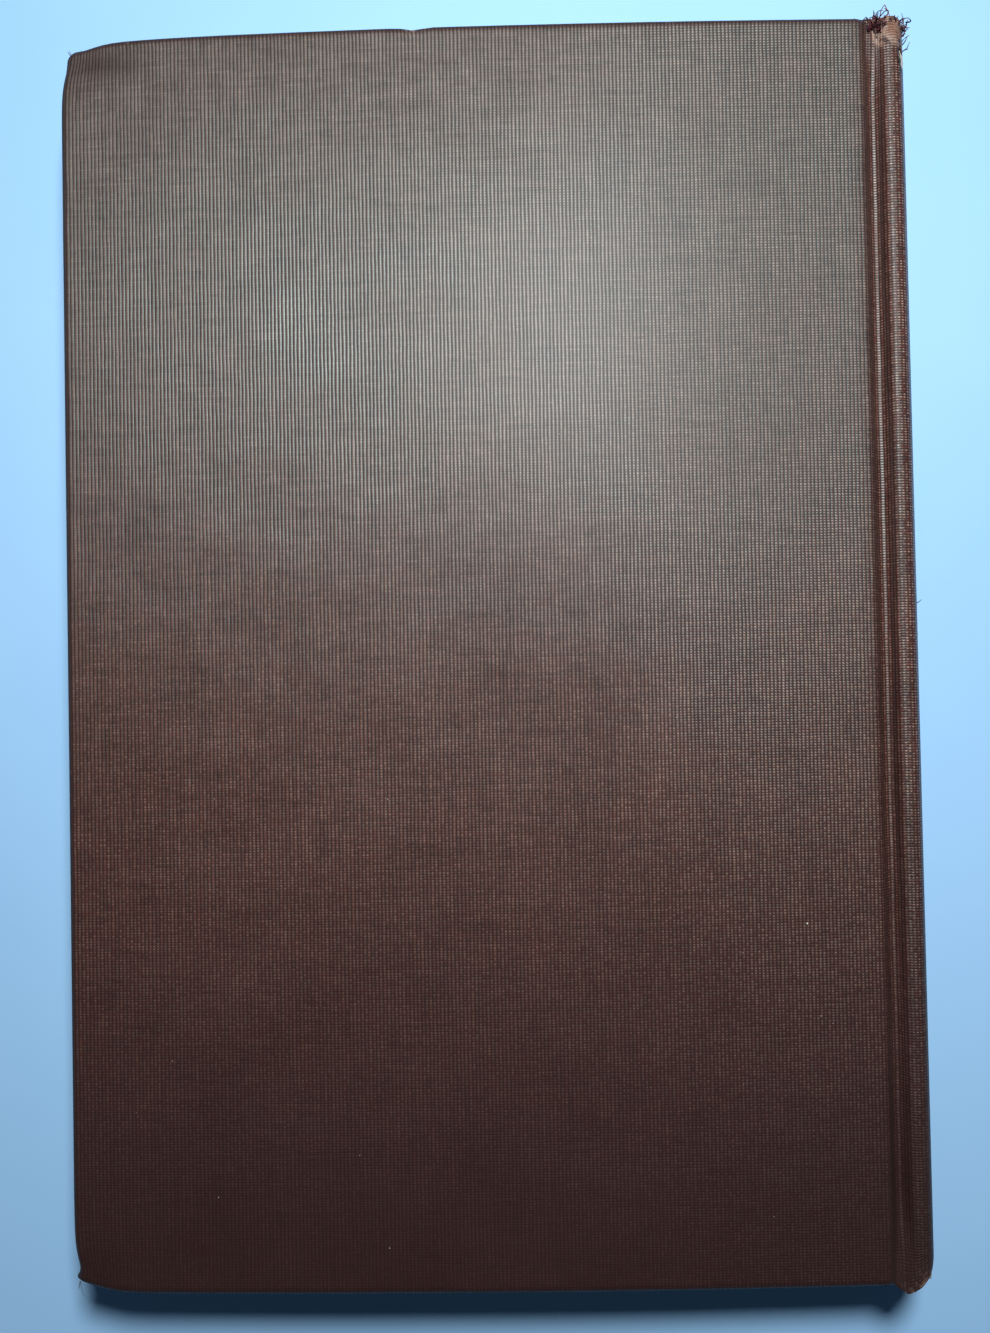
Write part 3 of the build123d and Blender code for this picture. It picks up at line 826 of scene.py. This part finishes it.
    return m.finish(
        Base_Color=colour,
        Roughness=rough,
        Specular_IOR_Level=0.40,
        Specular_Tint=(0.77, 1.0, 1.0, 1),
        Coat_Weight=0.15,
        Coat_Roughness=0.38,
        Anisotropic=0.3,
        Tangent=m.node("ShaderNodeTangent", settings={"direction_type": "UV_MAP", "uv_map": "UVMap"}),
        Normal=slack,
    )


cloth_finish = cloth_material()
for side, name in ((1, "back"), (-1, "front")):
    points, faces = board_slab(side)
    points[:, 2] += mid_height
    upper_face = np.arange(len(points)) < len(points) // 2
    points, _ = wear_and_warp(points, np.where(upper_face, 0.0, 20.0), side)
    board = new_object(f"{name}_cover_board", points, faces)
    board.data.materials.append(grey_board)
    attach(board, f"{name}_cover")
    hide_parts(f"{name}_board")
    points, faces, uv, ring_number = case_half_cloth(side)
    points[:, 2] += mid_height
    points, masks = wear_and_warp(points, ring_number, side)
    if side > 0:
        middle = points[faces].mean(axis=1)
        across = (middle[:, 0] - 64.35 * mm) / (0.5 * mm) + (middle[:, 1] - 91.3 * mm) / (5.0 * mm)
        hole = np.hypot(across, (middle[:, 1] - 91.3 * mm) / (1.35 * mm)) < 1
        faces = faces[~(hole & (middle[:, 2] > mid_height) & (faces.min(axis=1) >= 0))]
    cloth = new_object(f"{name}_case_cloth", points, faces, uv, masks)
    thicken(cloth, cloth_thickness, -1)
    cloth.data.materials.append(cloth_finish)
    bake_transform(cloth)
    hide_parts(f"{name}_cloth")
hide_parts("spine_cloth")

# ---------------------------------------------------------------------------------------------------
# Loose threads
# Where the cloth has worn through, its dark maroon threads stand free: three tangled tufts and one
# loop at the head of the spine, and single ends at the spine's edge and at two corners.
# ---------------------------------------------------------------------------------------------------
thread_radius = 0.095 * mm
thread_points, thread_sides = 10, 6


def thread_tubes(name, starts, bends, ends, radius, curl, seed):
    """Thin tapered tubes, all at once. Each runs on the curve (1-t)^2 start + 2t(1-t) bend + t^2 end, with
    a curl of sine waves added that grows from nothing at the start; both ends are closed by a disc."""
    draw = np.random.default_rng(seed)
    starts, bends, ends = (np.asarray(part, float)[:, None, :] for part in (starts, bends, ends))
    count = len(starts)
    t = np.linspace(0, 1, thread_points)[None, :, None]
    path = (1 - t) ** 2 * starts + 2 * t * (1 - t) * bends + t**2 * ends
    length = np.linalg.norm(ends - starts, axis=2, keepdims=True)
    phase = draw.uniform(0, 2 * math.pi, (count, 1, 3))
    turns = draw.uniform(4, 9, (count, 1, 3))
    path = path + curl * length * np.sin(turns * t + phase) * t * 0.5
    tangent = np.gradient(path, axis=1)
    tangent /= np.linalg.norm(tangent, axis=2, keepdims=True)
    side_way = np.cross(tangent, np.array([0.31, 0.24, 0.92]))
    side_way /= np.linalg.norm(side_way, axis=2, keepdims=True)
    third = np.cross(tangent, side_way)
    angle = np.linspace(0, 2 * math.pi, thread_sides, endpoint=False)[None, None, :, None]
    thick = radius * draw.uniform(0.6, 1.25, (count, 1, 1, 1)) * (1 - 0.55 * t[..., None] ** 2)
    thick = thick * (1 + 0.18 * np.sin(t[..., None] * 40 + angle))
    outwards = np.cos(angle) * side_way[:, :, None] + np.sin(angle) * third[:, :, None]
    ring = path[:, :, None] + thick * outwards
    points = ring.reshape(-1, 3)
    thread, row, column = np.meshgrid(
        np.arange(count), np.arange(thread_points - 1), np.arange(thread_sides), indexing="ij"
    )
    base = (thread * thread_points + row) * thread_sides
    following = (column + 1) % thread_sides
    above = base + thread_sides
    wall = np.stack([base + column, base + following, above + following, above + column], axis=-1)
    wall = wall.reshape(-1, 4)
    wall = np.column_stack([wall, np.full((len(wall), thread_sides - 4), -1)])
    disc = np.arange(thread_sides) + np.arange(count)[:, None] * thread_points * thread_sides
    faces = np.concatenate([wall, disc[:, ::-1], disc + (thread_points - 1) * thread_sides])
    share = np.broadcast_to(draw.uniform(0, 1, (count, 1, 1)), ring.shape[:3]).ravel()
    return new_object(name, points, faces, None, {"shade": share})


def thread_material():
    """Twisted cotton: each thread has its own shade, maroon to pale pink-brown, with painted shade between
    the fibres.
    """
    m = Shader("loose cloth thread")
    shade = m.node("ShaderNodeAttribute", output=2, settings={"attribute_name": "shade"})
    place = m.node("ShaderNodeTexCoord", output=3)
    fibre = m.noise(place, 6000.0, 2.0, 0.6)
    colour = m.mix(m.spread(shade, 0.0, 0.7), (0.022, 0.006, 0.014, 1), (0.12, 0.024, 0.036, 1))
    colour = m.mix(m.spread(shade, 0.78, 0.95), colour, (0.36, 0.21, 0.19, 1))
    # painted shade between the fibres
    colour = m.mix(m.spread(fibre, 0.6, 0.35, 0.0, 0.6), colour, (0.015, 0.005, 0.008, 1))
    bump = m.node("ShaderNodeBump", Strength=0.8, Distance=0.00003, Height=fibre)
    return m.finish(Base_Color=colour, Roughness=0.75, Specular_IOR_Level=0.3, Normal=bump)


thread_finish = thread_material()
rng = np.random.default_rng(29)
tufts = [
    # middle of the tuft, how far it spreads, which way the threads lean, how many, how long (mm)
    ((60.5, 95.7, 19.7), (1.1, 0.7, 0.35), (-0.1, 0.45, 0.7), 60, (0.5, 1.5)),
    ((64.2, 95.5, 18.0), (1.0, 1.1, 0.7), (0.25, 0.35, 0.75), 76, (0.5, 1.6)),
    ((62.4, 96.1, 19.4), (1.0, 0.4, 0.3), (0.1, 0.7, 0.6), 30, (0.4, 1.2)),
]
starts, bends, ends = [], [], []
for middle, spread, lean, count, (short, long) in tufts:
    start = np.array(middle) + rng.normal(0, 0.6, (count, 3)) * spread
    way = np.array(lean) + rng.normal(0, 0.75, (count, 3))
    way /= np.linalg.norm(way, axis=1)[:, None]
    reach = rng.uniform(short, long, (count, 1))
    starts.append(start)
    ends.append(start + way * reach)
    bends.append(start + way * reach * 0.5 + rng.normal(0, 0.45, (count, 3)) * reach)
single = np.array(
    [
        # start, bend and end of each single thread (mm)
        [(60.1, 96.6, 19.7), (60.4, 97.8, 20.1), (60.0, 99.1, 20.4)],
        [(60.2, 96.8, 19.7), (60.1, 97.9, 20.3), (60.6, 98.6, 20.5)],
        [(60.0, 96.7, 19.6), (59.7, 97.6, 19.9), (59.5, 98.0, 20.1)],
        [(60.8, 96.8, 19.7), (61.2, 99.4, 20.6), (61.5, 99.6, 20.7)],
        [(61.5, 99.6, 20.7), (62.2, 99.6, 20.7), (62.8, 96.9, 19.4)],
        [(64.9, 96.4, 17.0), (65.6, 97.8, 17.4), (65.2, 99.7, 17.9)],
        [(65.0, 96.6, 17.0), (65.9, 97.7, 17.6), (66.1, 98.9, 17.9)],
        [(64.8, 96.3, 16.9), (65.0, 97.8, 17.4), (65.4, 98.9, 17.8)],
        [(65.1, 95.6, 16.2), (65.7, 96.3, 16.6), (66.6, 97.0, 16.8)],
        [(65.0, 95.3, 16.0), (65.9, 95.8, 16.4), (66.3, 96.6, 16.9)],
        [(65.0, 94.4, 15.6), (65.9, 94.7, 16.0), (66.9, 95.9, 16.4)],
        [(65.1, 94.3, 15.4), (65.9, 94.9, 15.9), (66.5, 95.1, 16.1)],
        [(65.95, 6.7, 14.1), (66.5, 6.7, 14.3), (66.8, 7.2, 14.4)],
    ]
)
single[:-1] += (0.1, -1.1, -0.6)
starts.append(single[:, 0])
bends.append(single[:, 1])
ends.append(single[:, 2])
starts, bends, ends = (np.concatenate(part) * mm for part in (starts, bends, ends))
head_threads = thread_tubes("spine_loose_threads", starts, bends, ends, thread_radius, 0.10, 5)
corner_ends = np.array(
    [
        [(-64.9, 94.9, 18.6), (-65.2, 95.3, 18.9), (-65.4, 95.6, 19.1)],
        [(-64.8, 95.0, 18.8), (-65.0, 95.4, 19.0), (-65.1, 95.6, 19.2)],
        [(-65.6, -95.4, 19.0), (-65.6, -96.4, 19.1), (-65.2, -98.0, 18.6)],
        [(-65.7, -95.3, 19.0), (-65.8, -96.0, 19.0), (-66.0, -96.6, 18.7)],
    ]
) * mm
corner_threads = thread_tubes(
    "corner_loose_threads", corner_ends[:, 0], corner_ends[:, 1], corner_ends[:, 2], 0.05 * mm, 0.10, 6
)
for threads, body in ((head_threads, "text_block"), (corner_threads, "back_cover")):
    threads.data.materials.append(thread_finish)
    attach(threads, body)

# ---------------------------------------------------------------------------------------------------
# Lint and dust
# A tear near the head of the spine shows pale lint from the card beneath, curled out of the hole, and
# a few grains of pale dust lie on the back cover.
# ---------------------------------------------------------------------------------------------------
lint_finish = pulp_material("pale lint", (0.66, 0.62, 0.56, 1), (0.40, 0.36, 0.31, 1), 2500.0)
u, v = np.meshgrid(np.linspace(0, 1, 15), np.linspace(-1, 1, 11), indexing="ij")
tongue_width = (0.42 - 0.22 * u + 0.06 * np.sin(u * 23)) * mm
tongue_x = (64.0 + 0.1 * u) * mm + v * tongue_width + 0.05 * mm * np.sin(u * 17 + v * 3)
tongue_y = (91.0 - 2.4 * u) * mm + 0.08 * mm * np.sin(v * 9)
round_height = mid_height + np.sqrt(case_radius**2 - (tongue_x - case_centre) ** 2)
tongue_curl = 0.02 + 0.42 * np.sin(u * math.pi * 0.8) + 0.16 * v**2 + 0.05 * np.sin(u * 19 + v * 5)
tongue_z = round_height + tongue_curl * mm
tongue_points = np.stack([tongue_x, tongue_y, tongue_z], axis=-1).reshape(-1, 3)
lint = new_object("spine_tear_lint", tongue_points, grid_faces(15, 11))
thicken(lint, 0.08 * mm, 0)
lint.data.materials.append(lint_finish)
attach(lint, "text_block")

octahedron = np.array([(1, 0, 0), (0, 1, 0), (-1, 0, 0), (0, -1, 0), (0, 0, 1), (0, 0, -1)], float)
octahedron_faces = np.array(
    [(0, 1, 4), (1, 2, 4), (2, 3, 4), (3, 0, 4), (1, 0, 5), (2, 1, 5), (3, 2, 5), (0, 3, 5)]
)
grain_count = 34
grain_x, grain_y = rng.uniform(-60, 53, grain_count) * mm, rng.uniform(-94, 60, grain_count) * mm
grain_size = rng.uniform(0.04, 0.11, grain_count) * mm
grain_x[0], grain_y[0], grain_size[0] = 46.4 * mm, -42.0 * mm, 0.28 * mm
grain_place = np.column_stack([grain_x, grain_y, 20.02 * mm + bow(grain_x, 1) + grain_size * 0.5])
grain_shape = octahedron[None] * grain_size[:, None, None] * rng.uniform(0.6, 1.4, (grain_count, 6, 1))
grain_points = (grain_place[:, None] + grain_shape).reshape(-1, 3)
grain_faces = (octahedron_faces[None] + 6 * np.arange(grain_count)[:, None, None]).reshape(-1, 3)
dust = new_object("cover_dust", grain_points, grain_faces)
dust.data.materials.append(lint_finish)
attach(dust, "back_cover")

# ---------------------------------------------------------------------------------------------------
# Table, light and camera
# The book lies on a pale blue sheet. One large soft light stands over the head of the book, and an even
# pale surround fills in from all sides.
# ---------------------------------------------------------------------------------------------------
floor_points = np.array([(-1.5, -1.5, 0), (1.5, -1.5, 0), (1.5, 1.5, 0), (-1.5, 1.5, 0)], float)
floor = new_object("table_top", floor_points, np.array([[0, 1, 2, 3]]))
m = Shader("pale blue paper")
grain = m.noise(m.node("ShaderNodeTexCoord", output=3), 14.0, 3.0)
paper_blue = m.mix(m.spread(grain, 0.3, 0.7, 0.0, 1.0), (0.345, 0.630, 0.96, 1), (0.375, 0.660, 0.98, 1))
floor.data.materials.append(m.finish(Base_Color=paper_blue, Roughness=0.8, Specular_IOR_Level=0.2))

light = bpy.data.lights.new("softbox", "AREA")
light.shape = "DISK"
light.size = 0.078
light.spread = math.radians(150)
light.energy = 1.08
light.color = (1.0, 1.0, 1.0)
softbox = bpy.data.objects.new("softbox", light)
softbox.location = (0.034, 0.140, 0.330)
bpy.context.scene.collection.objects.link(softbox)
aim = np.array([0.006, 0.045, 0.020]) - np.array(softbox.location)
tilt = math.atan2(math.hypot(aim[0], aim[1]), -aim[2])
softbox.rotation_euler = (tilt, 0, math.atan2(aim[1], aim[0]) - math.pi / 2)

world = bpy.data.worlds.new("surround")
bpy.context.scene.world = world
world.use_nodes = True
nodes, links = world.node_tree.nodes, world.node_tree.links
surround = nodes["Background"]
surround.inputs["Color"].default_value = (0.46, 0.71, 1.0, 1)
sky_place = nodes.new("ShaderNodeTexCoord")
sky_height = nodes.new("ShaderNodeSeparateXYZ")
sky_level = nodes.new("ShaderNodeMapRange")
links.new(sky_place.outputs["Generated"], sky_height.inputs[0])
links.new(sky_height.outputs["Z"], sky_level.inputs[0])
for number, value in ((1, 0.05), (2, 0.50), (3, 0.35), (4, 0.015)):
    sky_level.inputs[number].default_value = value
seen = nodes.new("ShaderNodeLightPath")
level = nodes.new("ShaderNodeMix")
links.new(seen.outputs["Is Camera Ray"], level.inputs[0])
links.new(sky_level.outputs[0], level.inputs[2])
level.inputs[3].default_value = 0.9
links.new(level.outputs[0], surround.inputs["Strength"])

camera_data = bpy.data.cameras.new("camera")
camera_data.sensor_fit = "VERTICAL"
camera_data.sensor_height = 24.0
camera_data.lens = 22.57
camera_data.clip_start = 0.01
camera = bpy.data.objects.new("camera", camera_data)
camera.location = (0.0038, -0.0062, 0.2121)
camera.rotation_euler = (math.radians(1.187), math.radians(1.205), math.radians(-1.084))
bpy.context.scene.collection.objects.link(camera)
bpy.context.scene.camera = camera
bpy.context.scene.view_settings.view_transform = "Standard"
